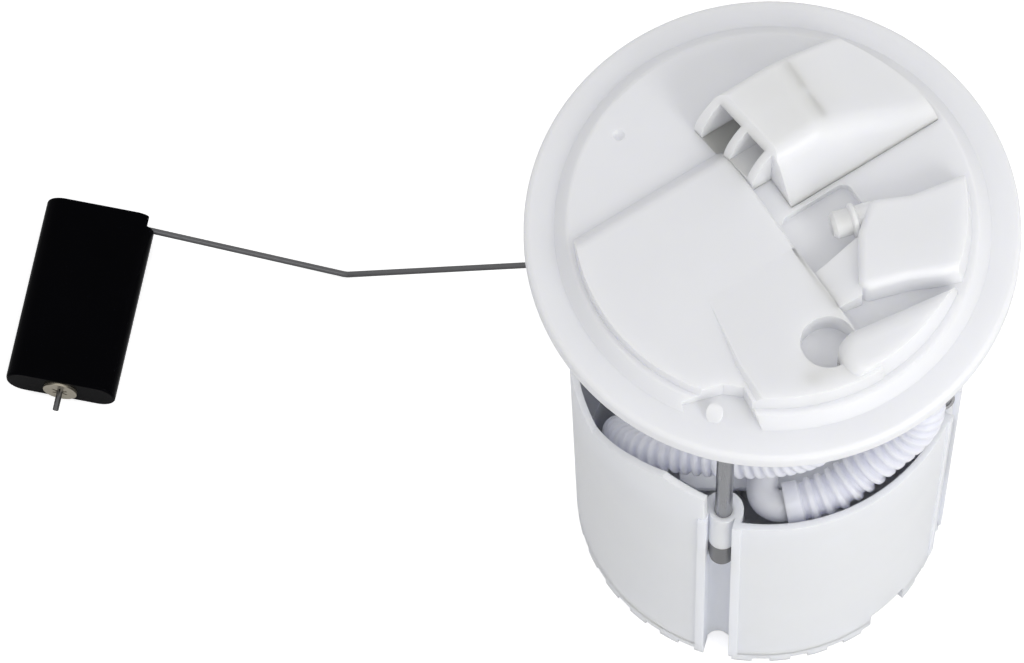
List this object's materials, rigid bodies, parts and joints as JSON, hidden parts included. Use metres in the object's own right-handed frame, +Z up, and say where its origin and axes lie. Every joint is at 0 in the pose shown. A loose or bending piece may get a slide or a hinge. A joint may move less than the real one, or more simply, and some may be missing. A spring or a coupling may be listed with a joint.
{
  "type": "in-tank fuel pump module",
  "caption": "In-tank fuel pump module: round cover with socket and pipe stubs, sprung swirl pot on guide rods holding an electric pump, and a float arm level sender.",
  "frame": {"origin": "centre of the flange's seating face, on the axis of the tank opening", "axes": "+Z up out of the tank, -Y towards the front guide rod, -X towards the float"},
  "size_m": [0.2931, 0.1593, 0.2263],
  "materials": {
    "cover_plastic": "white acetal, satin moulded",
    "reservoir_plastic": "white acetal, satin moulded",
    "tinned_brass": "tinned",
    "rod_steel": "drawn, bright",
    "stop_steel": "dark, turned",
    "spring_steel": "drawn wire",
    "valve_rubber": "matte",
    "mesh": "woven",
    "can_steel": "plated",
    "pump_plastic": "moulded",
    "impeller_plastic": "phenolic",
    "magnet": "sintered ferrite",
    "core_steel": "laminated",
    "copper": "copper",
    "carbon": "carbon",
    "hose_plastic": "natural polyamide",
    "sender_plastic": "white acetal",
    "ceramic": "ceramic with printed track",
    "arm_steel": "stainless wire",
    "float_rubber": "foamed nitrile, smooth skin",
    "clip_brass": "sprung brass, dull"
  },
  "bodies": {
    "cover": {"cover_flange": "cover_plastic", "socket_housing": "cover_plastic", "socket_pins": "tinned_brass", "front_guide_rod": "rod_steel", "right_guide_rod": "rod_steel", "rear_guide_rod": "rod_steel", "rod_stop": "stop_steel", "guide_springs": "spring_steel", "supply_hose": "hose_plastic", "return_hose": "hose_plastic"},
    "reservoir": {"reservoir_cup": "reservoir_plastic", "reservoir_foot": "reservoir_plastic", "inlet_valve": "valve_rubber", "inlet_strainer": "mesh", "pump_can": "can_steel", "pump_inlet_cap": "pump_plastic", "impeller_housing": "pump_plastic", "motor_magnets": "magnet", "motor_brushes": "carbon", "pump_outlet_cap": "pump_plastic", "pump_filter": "mesh", "isolator_sleeve": "valve_rubber", "pump_carrier": "reservoir_plastic", "delivery_elbow": "hose_plastic", "jet_pump": "pump_plastic", "level_sender": "sender_plastic", "resistor_card": "ceramic"},
    "rotor": {"armature": "core_steel", "commutator": "copper", "impeller": "impeller_plastic"},
    "float_lever": {"arm_carrier": "sender_plastic", "float_arm": "arm_steel", "float_clip": "clip_brass"},
    "float": {"fuel_float": "float_rubber"}
  },
  "joints": [
    {"name": "reservoir_slide", "type": "slide", "parent": "cover", "child": "reservoir", "axis": [0, 0, 1], "range_m": [0, 0.03], "stiffness_N_per_m": 800, "springref_m": -0.02, "deforming": ["guide_springs", "supply_hose", "return_hose"]},
    {"name": "rotor_spin", "type": "hinge", "parent": "reservoir", "child": "rotor", "pos_m": [0.005, 0.006, -0.14], "axis": [0, 0, 1], "continuous": true},
    {"name": "float_arm_pivot", "type": "hinge", "parent": "reservoir", "child": "float_lever", "pos_m": [-0.04138, 0.05112, -0.1419], "axis": [0.2079, 0.9781, 0], "range_deg": [0, 62]},
    {"name": "float_swivel", "type": "hinge", "parent": "float_lever", "child": "float", "pos_m": [-0.19538, 0.0861, -0.1896], "axis": [-0.2011, -0.9796, 0], "range_deg": [-8, 8]}
  ]
}
